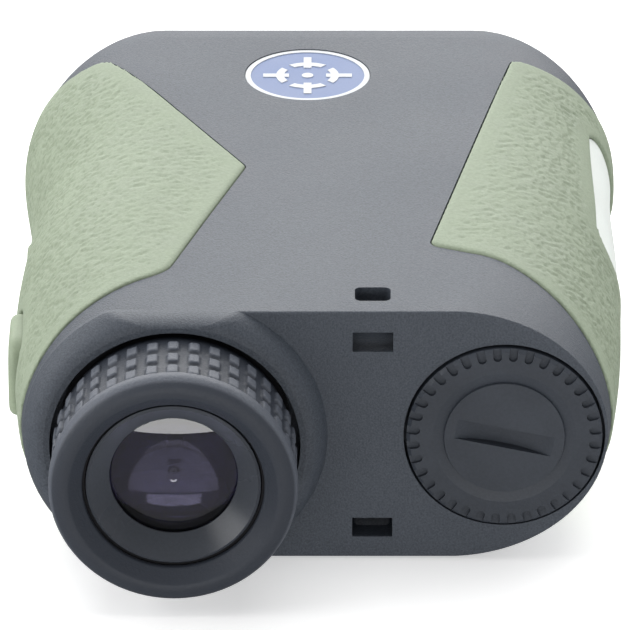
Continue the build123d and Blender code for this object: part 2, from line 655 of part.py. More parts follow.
with BuildPart() as battery_cap:
    profile = [
        (0, CAP_FACE_Y), (DISH_IN_R - 0.1, CAP_FACE_Y), (DISH_IN_R, CAP_FACE_Y + DISH_DEPTH),
        (DISH_OUT_R, CAP_FACE_Y), (CAP_R - 0.45, CAP_FACE_Y), (CAP_R, CAP_FACE_Y + 0.45),
        (CAP_R, CAP_BACK_Y), (THREAD_R, CAP_BACK_Y), (THREAD_R, STEM_BACK_Y), (STEM_IN_R, STEM_BACK_Y),
        (STEM_IN_R, CAP_BACK_Y), (0, CAP_BACK_Y),
    ]
    revolve(ring_profile(BATTERY_X, profile), axis=BATTERY_AXIS)
    with BuildSketch(across(CAP_FACE_Y + NOTCH_DEPTH)):
        with Locations((BATTERY_X, MID_Z)):
            with PolarLocations(NOTCH_R + 1.5, NOTCH_COUNT, start_angle=180 / NOTCH_COUNT):
                SlotOverall(4.0, NOTCH_WIDTH)
    extrude(amount=2, mode=Mode.SUBTRACT)
    coin_plane = Plane(
        origin=(BATTERY_X, CAP_FACE_Y + COIN_DEPTH - coin_cutter_r, MID_Z), x_dir=(0, 1, 0),
        z_dir=(math.sin(math.radians(-COIN_TILT)), 0, math.cos(math.radians(-COIN_TILT))),
    )
    with BuildSketch(coin_plane):
        Circle(coin_cutter_r)
    extrude(amount=COIN_WIDTH / 2, both=True, mode=Mode.SUBTRACT)
export(battery_cap, "battery_cap")

with BuildPart() as battery_cap_seal:
    revolve(tube(BATTERY_X, 11.2, 12.7, CAP_BACK_Y + 0.05, REAR_Y + CAP_RECESS - 0.05), axis=BATTERY_AXIS)
export(battery_cap_seal, "battery_cap_seal")

CONTACT_THICK = 0.4
CELL_R_BATTERY = 7.75
BATTERY_BACK_Y = STEM_BACK_Y - 0.2
BATTERY_LENGTH = 26.6
with BuildPart() as cap_contact:
    extrude(disc(BATTERY_X, MID_Z, 8.2, CAP_BACK_Y + 0.05 + CONTACT_THICK), amount=CONTACT_THICK)
export(cap_contact, "cap_contact")

SPRING_WIRE_R = 0.35
spring_start_y = CAP_BACK_Y + 0.1 + CONTACT_THICK + SPRING_WIRE_R
spring_end_y = BATTERY_BACK_Y - 0.1 - SPRING_WIRE_R
with BuildPart() as battery_spring:
    with BuildLine():
        coil = Helix(
            pitch=(spring_end_y - spring_start_y) / 3, height=spring_end_y - spring_start_y, radius=6.5,
            center=(BATTERY_X, spring_start_y, MID_Z), direction=(0, 1, 0), cone_angle=-28,
        )
    with BuildSketch(Plane(origin=coil @ 0, z_dir=coil % 0)):
        Circle(SPRING_WIRE_R)
    sweep(is_frenet=True)
export(battery_spring, "battery_spring")

BATTERY_FRONT_Y = BATTERY_BACK_Y + BATTERY_LENGTH
with BuildPart() as battery_cell:
    profile = [
        (0, BATTERY_BACK_Y), (CELL_R_BATTERY - 0.4, BATTERY_BACK_Y),
        (CELL_R_BATTERY, BATTERY_BACK_Y + 0.4), (CELL_R_BATTERY, BATTERY_FRONT_Y - 0.5),
        (CELL_R_BATTERY - 0.5, BATTERY_FRONT_Y), (3.2, BATTERY_FRONT_Y), (3.2, BATTERY_FRONT_Y + 0.7),
        (0, BATTERY_FRONT_Y + 0.7),
    ]
    revolve(ring_profile(BATTERY_X, profile), axis=BATTERY_AXIS)
export(battery_cell, "battery_cell")

SLEEVE_IN_R = 8.1
SLEEVE_OUT_R = 9.3
sleeve_end_y = BATTERY_FRONT_Y + 1.3
with BuildPart() as battery_tube:
    profile = [
        (SLEEVE_IN_R, COLLAR_Y + 0.1), (SLEEVE_OUT_R, COLLAR_Y + 0.1), (SLEEVE_OUT_R, sleeve_end_y + 1.2),
        (3.6, sleeve_end_y + 1.2), (3.6, sleeve_end_y), (SLEEVE_IN_R, sleeve_end_y),
    ]
    revolve(ring_profile(BATTERY_X, profile), axis=BATTERY_AXIS)
export(battery_tube, "battery_tube")

with BuildPart() as positive_contact:
    extrude(disc(BATTERY_X, MID_Z, 4.6, sleeve_end_y - 0.1), amount=0.35)
    extrude(disc(BATTERY_X, MID_Z, 1.4, sleeve_end_y + 2.6), amount=2.72)
export(positive_contact, "positive_contact")

# ================================================================ front: bezel, lenses, cells
OBJECTIVE_R = 10.2
RECEIVER_R = 11.2
BEZEL_BACK_Y = BEZEL_Y - BEZEL_THICK
CELL_WALL = 1.0
CELL_SEAT_Y = BEZEL_BACK_Y - 0.25
CELL_LENGTH = 5.8
BEZEL_SCREW_X = -1.2
BEZEL_SCREW_OFF = 11.0
POST_R = 2.3

with BuildPart() as front_bezel:
    with BuildSketch(across(BEZEL_Y)):
        with Locations((0, MID_Z)):
            RectangleRounded(BEZEL_W - 0.2, BEZEL_H - 0.2, BEZEL_CORNER - 0.1)
    extrude(amount=BEZEL_THICK)
    for axis, axis_x, radius in (
        (EYE_AXIS, EYE_X, OBJECTIVE_R), (RECEIVER_AXIS, RECEIVER_X, RECEIVER_R),
    ):
        mouth = [(0, BEZEL_BACK_Y - 1), (radius, BEZEL_BACK_Y - 1), (radius, BEZEL_BACK_Y + 1.2),
                 (radius + 1.2, BEZEL_Y), (radius + 1.2, BEZEL_Y + 1), (0, BEZEL_Y + 1)]
        revolve(ring_profile(axis_x, mouth), axis=axis, mode=Mode.SUBTRACT)
    with Locations(*[
        Plane(origin=(BEZEL_SCREW_X, BEZEL_Y, MID_Z + s * BEZEL_SCREW_OFF), z_dir=(0, 1, 0)) for s in (-1, 1)
    ]):
        CounterSinkHole(radius=1.1, counter_sink_radius=2.1, depth=BEZEL_THICK + 1)
export(front_bezel, "front_bezel")

with BuildPart() as front_gasket:
    with BuildSketch(across(SEAT_Y + 0.5)):
        with Locations((0, MID_Z)):
            RectangleRounded(BEZEL_W - 0.4, BEZEL_H - 0.4, BEZEL_CORNER - 0.2)
            RectangleRounded(BEZEL_W - 2.6, BEZEL_H - 2.6, BEZEL_CORNER - 1.3, mode=Mode.SUBTRACT)
    extrude(amount=0.45)
export(front_gasket, "front_gasket")

with BuildPart() as bezel_screws:
    for s in (-1, 1):
        axis = Axis((BEZEL_SCREW_X, 0, MID_Z + s * BEZEL_SCREW_OFF), (0, 1, 0))
        with BuildSketch(Plane.XY.offset(MID_Z + s * BEZEL_SCREW_OFF)):
            with BuildLine():
                head_y = BEZEL_Y - 0.15
                Polyline((BEZEL_SCREW_X, head_y), (BEZEL_SCREW_X + 1.9, head_y),
                         (BEZEL_SCREW_X + 0.95, head_y - 0.95), (BEZEL_SCREW_X + 0.95, head_y - 8),
                         (BEZEL_SCREW_X, head_y - 8), close=True)
            make_face()
        revolve(axis=axis)
        with BuildSketch(across(head_y + 1)):
            with Locations((BEZEL_SCREW_X, MID_Z + s * BEZEL_SCREW_OFF)):
                Rectangle(2.2, 0.5)
                Rectangle(0.5, 2.2)
        extrude(amount=1.6, mode=Mode.SUBTRACT)
export(bezel_screws, "bezel_screws")

for name, axis, axis_x, radius in (
    ("objective", EYE_AXIS, EYE_X, OBJECTIVE_R), ("receiver", RECEIVER_AXIS, RECEIVER_X, RECEIVER_R),
):
    cell_back_y = CELL_SEAT_Y - CELL_LENGTH
    lens_back_y = cell_back_y + 1.4
    with BuildPart() as cell:
        profile = [
            (radius + 0.05, CELL_SEAT_Y), (radius + CELL_WALL, CELL_SEAT_Y), (radius + CELL_WALL, cell_back_y),
            (radius - 1.2, cell_back_y), (radius - 1.2, cell_back_y + 1.0), (radius + 0.05, cell_back_y + 1.0),
        ]
        revolve(ring_profile(axis_x, profile), axis=axis)
    export(cell, name + "_cell")
    with BuildPart() as lens:
        revolve(lens_profile(axis_x, radius, lens_back_y, -0.3, 1.6, 1.3), axis=axis)
    export(lens, name + "_lens")
    lens_front_rim_y = lens_back_y - 0.3 + 1.6
    with BuildPart() as retainer:
        revolve(tube(axis_x, radius - 1.0, radius, lens_front_rim_y + 0.35, CELL_SEAT_Y - 0.1), axis=axis)
    export(retainer, name + "_retainer")

# ================================================================ optical chassis and tubes
PLATE_THICK = 1.6
PLATE_X = 26.0
PLATE_BACK_Y = -19.0
BULKHEAD_Y = 41.0
BULKHEAD_THICK = 2.0
OBJECTIVE_TUBE_R = 12.2
RECEIVER_TUBE_R = 12.2

with BuildPart() as optical_chassis:
    with BuildSketch(Plane.XY.offset(PLATE_Z)):
        with Locations((0, (PLATE_BACK_Y + BULKHEAD_Y) / 2)):
            RectangleRounded(2 * PLATE_X, BULKHEAD_Y - PLATE_BACK_Y, 3)
        with Locations((14, 2)):
            Rectangle(18, 20, mode=Mode.SUBTRACT)
        with Locations(*CHASSIS_SCREWS):
            Circle(1.1, mode=Mode.SUBTRACT)
    extrude(amount=PLATE_THICK)
    with BuildSketch(across(BULKHEAD_Y + BULKHEAD_THICK)):
        with Locations((-0.75, MID_Z - 0.5)):
            RectangleRounded(58, 27.6, 8)
        with Locations((EYE_X, MID_Z)):
            Circle(OBJECTIVE_TUBE_R + 0.1, mode=Mode.SUBTRACT)
        with Locations((RECEIVER_X, MID_Z)):
            Circle(RECEIVER_TUBE_R + 0.1, mode=Mode.SUBTRACT)
    extrude(amount=BULKHEAD_THICK)
    for s in (-1, 1):
        extrude(disc(BEZEL_SCREW_X, MID_Z + s * BEZEL_SCREW_OFF, POST_R, BEZEL_BACK_Y - 0.2),
                amount=BEZEL_BACK_Y - 0.2 - BULKHEAD_Y)
        extrude(disc(BEZEL_SCREW_X, MID_Z + s * BEZEL_SCREW_OFF, 1.0, BEZEL_BACK_Y), amount=8,
                mode=Mode.SUBTRACT)
export(optical_chassis, "optical_chassis")

with BuildPart() as chassis_screws:
    for x, y in CHASSIS_SCREWS:
        with BuildSketch(Plane.XY.offset(PLATE_Z + PLATE_THICK + 0.05)):
            with Locations((x, y)):
                Circle(1.9)
                Rectangle(2.4, 0.5, mode=Mode.SUBTRACT)
                Rectangle(0.5, 2.4, mode=Mode.SUBTRACT)
        extrude(amount=0.9)
        with BuildSketch(Plane.XY.offset(PLATE_Z - 1.0)):
            with Locations((x, y)):
                Circle(0.95)
        extrude(amount=PLATE_THICK + 1.25)
export(chassis_screws, "chassis_screws")

OBJECTIVE_TUBE_BACK_Y = 14.0
tube_front_y = CELL_SEAT_Y - CELL_LENGTH - 0.1
with BuildPart() as objective_tube:
    revolve(tube(EYE_X, OBJECTIVE_TUBE_R - 1.0, OBJECTIVE_TUBE_R, OBJECTIVE_TUBE_BACK_Y, tube_front_y),
            axis=EYE_AXIS)
    for k in range(3):
        baffle_y = OBJECTIVE_TUBE_BACK_Y + 4 + 8 * k
        revolve(tube(EYE_X, 8.0 + 0.7 * k, OBJECTIVE_TUBE_R - 0.5, baffle_y, baffle_y + 0.6), axis=EYE_AXIS)
export(objective_tube, "objective_tube")

FILTER_Y = 12.4
FILTER_R = 4.4
with BuildPart() as receiver_tube:
    profile = [
        (FILTER_R + 0.1, FILTER_Y - 0.6), (FILTER_R + 1.2, FILTER_Y - 0.6), (FILTER_R + 1.2, FILTER_Y + 2),
        (RECEIVER_TUBE_R, 34.0), (RECEIVER_TUBE_R, tube_front_y), (RECEIVER_TUBE_R - 1, tube_front_y),
        (RECEIVER_TUBE_R - 1, 34.4), (FILTER_R - 0.4, FILTER_Y + 2.4), (FILTER_R - 0.4, FILTER_Y + 1.1),
        (FILTER_R + 0.1, FILTER_Y + 1.1),
    ]
    revolve(ring_profile(RECEIVER_X, profile), axis=RECEIVER_AXIS)
export(receiver_tube, "receiver_tube")

with BuildPart() as interference_filter:
    revolve(tube(RECEIVER_X, 0, FILTER_R, FILTER_Y, FILTER_Y + 1.0), axis=RECEIVER_AXIS)
export(interference_filter, "interference_filter")

with BuildPart() as detector_apd:
    profile = [
        (0, 7.0), (4.6, 7.0), (4.6, 7.6), (4.1, 7.6), (4.1, FILTER_Y - 1.0), (0, FILTER_Y - 1.0),
    ]
    revolve(ring_profile(RECEIVER_X, profile), axis=RECEIVER_AXIS)
    with BuildSketch(across(7.2)):
        with Locations((RECEIVER_X, MID_Z)):
            with PolarLocations(2.5, 3):
                Circle(0.22)
    extrude(amount=2.2)
export(detector_apd, "detector_apd")

with BuildPart() as receiver_board:
    with BuildSketch(across(6.7)):
        with Locations((RECEIVER_X, MID_Z)):
            RectangleRounded(18, 20, 1)
            with PolarLocations(2.5, 3):
                Circle(0.3, mode=Mode.SUBTRACT)
    extrude(amount=1.2)
export(receiver_board, "receiver_board")

# ================================================================ prisms, display, laser
PRISM_W = 16.0
PRISM_H = 16.0
PRISM_LEAN = 6.6
PRISM_GAP_Y = -1.5


def prism_block(name, outline):
    """Glass block: outline in (y, height from the optical axis), square across the body."""
    with BuildPart() as block:
        with BuildSketch(Plane(origin=(EYE_X - PRISM_W / 2, 0, MID_Z), x_dir=(0, 1, 0), z_dir=(1, 0, 0))):
            with BuildLine():
                Polyline(*outline, close=True)
            make_face()
        extrude(amount=PRISM_W)
    export(block, name)


half_h = PRISM_H / 2
prism_block("prism_front", [
    (11.0, -half_h), (11.0, half_h), (PRISM_GAP_Y + 0.4 + PRISM_LEAN / 2, half_h),
    (PRISM_GAP_Y + 0.4 - PRISM_LEAN / 2, -half_h),
])
prism_block("prism_roof", [
    (PRISM_GAP_Y - 0.4 - PRISM_LEAN / 2, -half_h), (PRISM_GAP_Y - 0.4 + PRISM_LEAN / 2, half_h),
    (-19.0, half_h), (-19.0, -4.0), (-15.0, -half_h),
])

CRADLE_WALL = 1.4
cradle_floor_z = MID_Z - half_h - 0.1
with BuildPart() as prism_housing:
    with BuildSketch(Plane.XY.offset(PLATE_Z + PLATE_THICK + 0.05)):
        with Locations((EYE_X, -4.0)):
            Rectangle(PRISM_W + 0.2 + 2 * CRADLE_WALL, 33.4)
    extrude(amount=MID_Z + 5 - (PLATE_Z + PLATE_THICK + 0.05))
    with BuildSketch(Plane.XY.offset(cradle_floor_z)):
        with Locations((EYE_X, -4.0)):
            Rectangle(PRISM_W + 0.2, 30.4)
    extrude(amount=30, mode=Mode.SUBTRACT)
    extrude(disc(EYE_X, MID_Z, 7.2, 20), amount=50, mode=Mode.SUBTRACT)
export(prism_housing, "prism_housing")

CLIP_STEEL = 0.4
with BuildPart() as prism_clip:
    top_z = MID_Z + half_h + 0.05
    leg_x = PRISM_W / 2 + 0.1 + CRADLE_WALL + 0.05
    with BuildSketch(across(-4.0)):
        with BuildLine():
            Polyline(
                (EYE_X - leg_x, MID_Z - 2), (EYE_X - leg_x, top_z), (EYE_X + leg_x, top_z),
                (EYE_X + leg_x, MID_Z - 2), (EYE_X + leg_x + CLIP_STEEL, MID_Z - 2),
                (EYE_X + leg_x + CLIP_STEEL, top_z + CLIP_STEEL), (EYE_X - leg_x - CLIP_STEEL, top_z + CLIP_STEEL),
                (EYE_X - leg_x - CLIP_STEEL, MID_Z - 2), close=True,
            )
        make_face()
    extrude(amount=5)
export(prism_clip, "prism_clip")

DISPLAY_Y = -25.0
with BuildPart() as reticle_holder:
    with BuildSketch(across(DISPLAY_Y + 1.4)):
        with Locations((EYE_X, MID_Z)):
            RectangleRounded(20, 20, 1.5)
            Circle(6.5, mode=Mode.SUBTRACT)
    extrude(amount=3.0)
    with BuildSketch(across(DISPLAY_Y + 0.9)):
        with Locations((EYE_X, MID_Z)):
            Rectangle(15.2, 15.2)
    extrude(amount=1.8, mode=Mode.SUBTRACT)
export(reticle_holder, "reticle_holder")

with BuildPart() as reticle_display:
    with BuildSketch(across(DISPLAY_Y + 0.8)):
        with Locations((EYE_X, MID_Z)):
            Rectangle(15, 15)
    extrude(amount=1.6)
export(reticle_display, "reticle_display")

with BuildPart() as laser_module:
    with BuildSketch(Plane.XY.offset(MID_Z + half_h + 0.6)):
        with Locations((EYE_X, 5.0)):
            Circle(3.0)
    extrude(amount=4.4)
    with BuildSketch(Plane.XY.offset(MID_Z + half_h + 5.0)):
        with Locations((EYE_X, 5.0)):
            Circle(3.6)
    extrude(amount=1.0)
export(laser_module, "laser_module")

# ================================================================ electronics
BOARD_THICK = 1.2
BOARD_X = -1.2
with BuildPart() as main_pcb:
    with BuildSketch(Plane(origin=(BOARD_X, 7.0, MID_Z + 0.9), x_dir=(0, 1, 0), z_dir=(1, 0, 0))):
        RectangleRounded(62, 24.4, 1.5)
        with GridLocations(57, 19.4, 2, 2):
            Circle(1.0, mode=Mode.SUBTRACT)
    extrude(amount=BOARD_THICK)
export(main_pcb, "main_pcb")

# chips, connectors and cans on the board's right side: y, height above the middle, length, height, thickness
CHIPS = [
    (-12.0, 2.0, 9.0, 9.0, 1.0), (2.0, 5.0, 6.0, 5.0, 0.9), (3.0, -4.5, 4.0, 4.0, 0.8),
    (14.0, 1.0, 10.0, 12.0, 2.2), (27.0, 5.0, 5.0, 5.0, 0.9), (27.0, -4.0, 7.0, 3.2, 1.6),
    (-20.0, -5.0, 3.2, 2.5, 0.8), (-6.0, -7.5, 8.0, 3.0, 2.0),
]
with BuildPart() as pcb_components:
    for y, rise, length, height, thick in CHIPS:
        with BuildSketch(Plane(origin=(BOARD_X + BOARD_THICK + 0.02, y, MID_Z + rise), x_dir=(0, 1, 0),
                               z_dir=(1, 0, 0))):
            Rectangle(length, height)
        extrude(amount=thick)
export(pcb_components, "pcb_components")

SWITCH_BOARD_X = -34.4
with BuildPart() as button_board:
    with BuildSketch(Plane(origin=(SWITCH_BOARD_X, (BUTTON_Y + MODE_Y) / 2, MID_Z), x_dir=(0, 1, 0),
                           z_dir=(1, 0, 0))):
        RectangleRounded(MODE_Y - BUTTON_Y + 13, 13, 2)
    extrude(amount=1.0)
export(button_board, "button_board")

with BuildPart() as tact_switches:
    for y in (BUTTON_Y, MODE_Y):
        with BuildSketch(Plane(origin=(SWITCH_BOARD_X - 0.02, y, MID_Z), x_dir=(0, 1, 0), z_dir=(-1, 0, 0))):
            RectangleRounded(4.8, 4.8, 0.5)
        extrude(amount=0.9)
        with BuildSketch(Plane(origin=(SWITCH_BOARD_X - 0.5, y, MID_Z), x_dir=(0, 1, 0), z_dir=(-1, 0, 0))):
            Circle(1.1)
        extrude(amount=SWITCH_BOARD_X - 0.5 - SWITCH_TIP_X)
export(tact_switches, "tact_switches")

RIBBON_WIDTH = 8.0
with BuildPart() as flex_cable:
    with BuildSketch(across(-14.0)):
        with BuildLine():
            FilletPolyline(
                (SWITCH_BOARD_X + 1.2, MID_Z + 2), (SWITCH_BOARD_X + 1.2, MID_Z + 7.5), (-27.5, TOP_Z - 4.0),
                (-5.0, TOP_Z - 4.0), (BOARD_X - 0.25, TOP_Z - 7.5), (BOARD_X - 0.25, MID_Z + 6), radius=1.2,
            )
        trace(line_width=0.2)
    extrude(amount=RIBBON_WIDTH)
export(flex_cable, "flex_cable")
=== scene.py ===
import math

import bmesh
import bpy
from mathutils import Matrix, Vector
from mathutils import noise as relief
from mathutils.kdtree import KDTree


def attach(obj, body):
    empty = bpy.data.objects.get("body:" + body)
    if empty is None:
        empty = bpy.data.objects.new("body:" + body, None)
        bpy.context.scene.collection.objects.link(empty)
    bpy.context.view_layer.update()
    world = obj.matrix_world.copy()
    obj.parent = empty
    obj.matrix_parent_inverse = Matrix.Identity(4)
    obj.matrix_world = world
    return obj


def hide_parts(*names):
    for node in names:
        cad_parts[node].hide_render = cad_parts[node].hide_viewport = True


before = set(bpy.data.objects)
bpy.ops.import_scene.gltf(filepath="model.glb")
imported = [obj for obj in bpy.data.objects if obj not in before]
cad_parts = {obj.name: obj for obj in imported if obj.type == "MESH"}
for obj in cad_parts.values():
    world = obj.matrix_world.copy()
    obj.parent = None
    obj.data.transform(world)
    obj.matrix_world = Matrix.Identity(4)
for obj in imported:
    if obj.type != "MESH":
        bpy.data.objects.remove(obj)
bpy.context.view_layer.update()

MM = 0.001
EYE_X = -19 * MM
MID_Z = 18.3 * MM


# ---------------------------------------------------------------- material helpers
def new_material(name, base, roughness, **sockets):
    """Principled material with fixed values on the shader's own sockets."""
    material = bpy.data.materials.new(name)
    material.use_nodes = True
    shader = material.node_tree.nodes["Principled BSDF"]
    shader.inputs["Base Color"].default_value = (*base, 1)
    shader.inputs["Roughness"].default_value = roughness
    for socket, value in sockets.items():
        shader.inputs[socket.replace("_", " ")].default_value = value
    return material


def add_node(material, kind, **values):
    """A new node, with values given to its sockets or, failing those, to its settings."""
    node = material.node_tree.nodes.new(kind)
    for key, value in values.items():
        if key in node.inputs:
            node.inputs[key].default_value = value
        else:
            setattr(node, key, value)
    return node


def link(material, source, target):
    material.node_tree.links.new(source, target)


def coordinates(material, stretch=(1, 1, 1)):
    """Object coordinates, in metres, stretched along the axes."""
    place = add_node(material, "ShaderNodeTexCoord")
    mapping = add_node(material, "ShaderNodeMapping", Scale=stretch)
    link(material, place.outputs["Object"], mapping.inputs["Vector"])
    return mapping.outputs["Vector"]


def noise(material, vector, size, detail=2.0, rough=0.5):
    """Noise whose blotches are about size metres across; returns the value."""
    texture = add_node(material, "ShaderNodeTexNoise", Scale=1 / size, Detail=detail, Roughness=rough)
    link(material, vector, texture.inputs["Vector"])
    return texture.outputs["Fac"]


def remap(material, value, from_min, from_max, to_min, to_max):
    """Maps one range of a value onto another, clamped to its ends."""
    node = add_node(material, "ShaderNodeMapRange")
    node.inputs["From Min"].default_value = from_min
    node.inputs["From Max"].default_value = from_max
    node.inputs["To Min"].default_value = to_min
    node.inputs["To Max"].default_value = to_max
    link(material, value, node.inputs["Value"])
    return node.outputs["Result"]


def maths(material, operation, a, b=0.0):
    """Arithmetic on two numbers or node outputs."""
    node = add_node(material, "ShaderNodeMath", operation=operation)
    for socket, value in zip(node.inputs, (a, b)):
        if isinstance(value, (int, float)):
            socket.default_value = value
        else:
            link(material, value, socket)
    return node.outputs["Value"]


def blended(material, a, b, share):
    """Weighted sum of two values, with share of the first."""
    return maths(material, "ADD", maths(material, "MULTIPLY", a, share),
                 maths(material, "MULTIPLY", b, 1 - share))


MIX_FACTOR, MIX_COLOUR_A, MIX_COLOUR_B = 0, 6, 7     # sockets of the mix node's colour mode
MIX_RESULT = 2


def vary_colour(material, value, dark, light):
    """Base colour between dark and light, after a value from 0 to 1."""
    mix = add_node(material, "ShaderNodeMix", data_type="RGBA")
    mix.inputs[MIX_COLOUR_A].default_value = (*dark, 1)
    mix.inputs[MIX_COLOUR_B].default_value = (*light, 1)
    link(material, value, mix.inputs[MIX_FACTOR])
    link(material, mix.outputs[MIX_RESULT], material.node_tree.nodes["Principled BSDF"].inputs["Base Color"])


NOISE_LOW, NOISE_HIGH = 0.3, 0.7     # range that most of a noise's values lie in
TONE_LOW, TONE_HIGH = 0.35, 0.65     # the same for a sum of two noises


def vary_roughness(material, value, low, high):
    """Roughness between low and high, after a noise."""
    result = remap(material, value, NOISE_LOW, NOISE_HIGH, low, high)
    link(material, result, material.node_tree.nodes["Principled BSDF"].inputs["Roughness"])


def bump(material, height, depth):
    """Surface relief of depth metres."""
    node = add_node(material, "ShaderNodeBump", Strength=1.0, Distance=depth)
    link(material, height, node.inputs["Height"])
    link(material, node.outputs["Normal"], material.node_tree.nodes["Principled BSDF"].inputs["Normal"])


def scaled(colour, factor):
    """A colour made lighter or darker by a factor."""
    return tuple(min(1.0, c * factor) for c in colour)


def moulded(name, base, roughness, grain=0.35 * MM, depth=0.02 * MM, spread=0.12, **sockets):
    """Moulded plastic or rubber: fine even grain and faint clouding."""
    material = new_material(name, base, roughness, **sockets)
    vector = coordinates(material)
    clouds = noise(material, vector, 9 * MM, detail=3)
    fine = noise(material, vector, grain, detail=2)
    tone = remap(material, blended(material, clouds, fine, 0.5), TONE_LOW, TONE_HIGH, 0, 1)
    vary_colour(material, tone, scaled(base, 1 - spread), scaled(base, 1 + spread))
    vary_roughness(material, clouds, roughness - 0.04, roughness + 0.04)
    bump(material, fine, depth)
    return material


def metal(name, base, roughness, stretch=(1, 1, 1), **sockets):
    """Metal with fine machining marks along one direction."""
    material = new_material(name, base, roughness, Metallic=1.0, **sockets)
    vector = coordinates(material, stretch)
    marks = noise(material, vector, 0.25 * MM, detail=3)
    vary_colour(material, marks, scaled(base, 0.85), scaled(base, 1.1))
    vary_roughness(material, marks, roughness - 0.06, roughness + 0.06)
    bump(material, marks, 0.004 * MM)
    return material


DUST_LOW, DUST_HIGH = 0.62, 0.8
DUST_ROUGHNESS = 0.015


def glass(name, tint, ior, **sockets):
    """Tinted glass with faint specks of dust."""
    material = new_material(name, tint, 0.0, IOR=ior, Transmission_Weight=1.0, **sockets)
    shader = material.node_tree.nodes["Principled BSDF"]
    vector = coordinates(material)
    dust = noise(material, vector, 0.8 * MM, detail=5, rough=0.7)
    link(material, remap(material, dust, DUST_LOW, DUST_HIGH, 0.0, DUST_ROUGHNESS),
         shader.inputs["Roughness"])
    vary_colour(material, dust, scaled(tint, 0.98), tint)
    return material


# ---------------------------------------------------------------- the finishes
def housing_plastic():
    """Sand-textured grey plastic with a cool cast."""
    material = new_material("housing_plastic", (0.050, 0.056, 0.068), 0.55)
    vector = coordinates(material)
    clouds = noise(material, vector, 14 * MM, detail=2)
    sand = noise(material, vector, 0.26 * MM, detail=2, rough=0.6)
    tone = remap(material, blended(material, clouds, sand, 0.12), 0.32, 0.68, 0, 1)
    vary_colour(material, tone, (0.034, 0.042, 0.056), (0.066, 0.078, 0.098))
    vary_roughness(material, clouds, 0.53, 0.57)
    bump(material, sand, 0.09 * MM)
    return material


def armour_rubber():
    """Sage rubber with a fine grain; its creases are in the mesh."""
    material = new_material("armour_rubber", (0.25, 0.30, 0.21), 0.66)
    vector = coordinates(material)
    grain = noise(material, vector, 0.4 * MM, detail=3, rough=0.6)
    clouds = noise(material, vector, 6 * MM, detail=3)
    tone = remap(material, blended(material, clouds, grain, 0.4), TONE_LOW, TONE_HIGH, 0, 1)
    vary_colour(material, tone, (0.205, 0.250, 0.172), (0.262, 0.312, 0.224))
    vary_roughness(material, clouds, 0.60, 0.70)
    bump(material, grain, 0.06 * MM)
    return material


# radii past which the eyecup rubber is painted paler, a painted highlight on the knurl block tops and the
# rim's edge
HIGHLIGHT_FROM, HIGHLIGHT_TO = 15.6 * MM, 15.9 * MM     # distances from the eyepiece axis


def cup_rubber():
    """Black rubber, painted paler on the tops of the knurl blocks and on the rim's edge: a painted highlight
    standing in for the light these catch.
    """
    material = new_material("eyecup_rubber", (0.034, 0.042, 0.058), 0.55)
    place = add_node(material, "ShaderNodeTexCoord")
    apart = add_node(material, "ShaderNodeSeparateXYZ")
    link(material, place.outputs["Object"], apart.inputs["Vector"])
    across = maths(material, "SUBTRACT", apart.outputs["X"], EYE_X)
    up = maths(material, "SUBTRACT", apart.outputs["Z"], MID_Z)
    squares = maths(material, "ADD", maths(material, "MULTIPLY", across, across),
                    maths(material, "MULTIPLY", up, up))
    radius = maths(material, "SQRT", squares)
    grain = noise(material, place.outputs["Object"], 0.35 * MM, detail=3, rough=0.6)
    # painted highlight: paler colour on the outermost radii, broken up by the grain
    painted_highlight = maths(material, "MULTIPLY", remap(material, radius, HIGHLIGHT_FROM, HIGHLIGHT_TO, 0.0, 1.0),
                 remap(material, grain, NOISE_LOW, NOISE_HIGH, 0.6, 1.0))
    vary_colour(material, painted_highlight, (0.026, 0.032, 0.045), (0.085, 0.096, 0.120))
    vary_roughness(material, grain, 0.5, 0.6)
    bump(material, grain, 0.07 * MM)
    return material


MACHINED = (1, 0.2, 1)        # marks drawn out along the body

FINISHES = {
    "housing_plastic": housing_plastic(),
    "armour_rubber": armour_rubber(),
    "button_rubber": moulded("button_rubber", (0.24, 0.29, 0.20), 0.6, spread=0.06),
    "label_film": moulded("label_film", (0.74, 0.78, 0.75), 0.45, grain=0.5 * MM, depth=0.003 * MM,
                          spread=0.03),
    "badge_white": moulded("badge_white", (0.55, 0.57, 0.59), 0.5, depth=0.003 * MM, spread=0.02),
    "badge_blue": moulded("badge_blue", (0.14, 0.19, 0.34), 0.55, depth=0.003 * MM, spread=0.05),
    "eyecup_rubber": cup_rubber(),
    "cap_plastic": moulded("cap_plastic", (0.034, 0.041, 0.054), 0.5, depth=0.04 * MM),
    "black_gloss": moulded("black_gloss", (0.050, 0.056, 0.068), 0.30, depth=0.002 * MM),
    "black_alloy": metal("black_alloy", (0.05, 0.05, 0.055), 0.45),
    "coated_glass": glass("coated_glass", (0.24, 0.23, 0.36), 1.9, Specular_IOR_Level=1.0),
    "prism_glass": glass("prism_glass", (0.98, 1.0, 0.99), 1.52),
    "display_glass": glass("display_glass", (0.10, 0.10, 0.16), 1.5),
    "frame_plastic": moulded("frame_plastic", (0.02, 0.02, 0.022), 0.55),
    "board_green": moulded("board_green", (0.02, 0.11, 0.05), 0.35, depth=0.01 * MM, spread=0.25),
    "chip_black": moulded("chip_black", (0.015, 0.015, 0.016), 0.4),
    "ribbon_amber": moulded("ribbon_amber", (0.42, 0.18, 0.03), 0.35, depth=0.005 * MM),
    "steel": metal("steel", (0.55, 0.55, 0.56), 0.28, MACHINED),
    "brass": metal("brass", (0.72, 0.50, 0.20), 0.3, MACHINED),
    "battery_wrap": moulded("battery_wrap", (0.10, 0.14, 0.30), 0.3, depth=0.004 * MM),
    "seal_rubber": moulded("seal_rubber", (0.015, 0.015, 0.015), 0.6),
}

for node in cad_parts.values():
    for place in node.material_slots:
        place.material = FINISHES[place.material.name.split(".")[0]]


# ---------------------------------------------------------------- softened pieces
WELD = 0.002 * MM


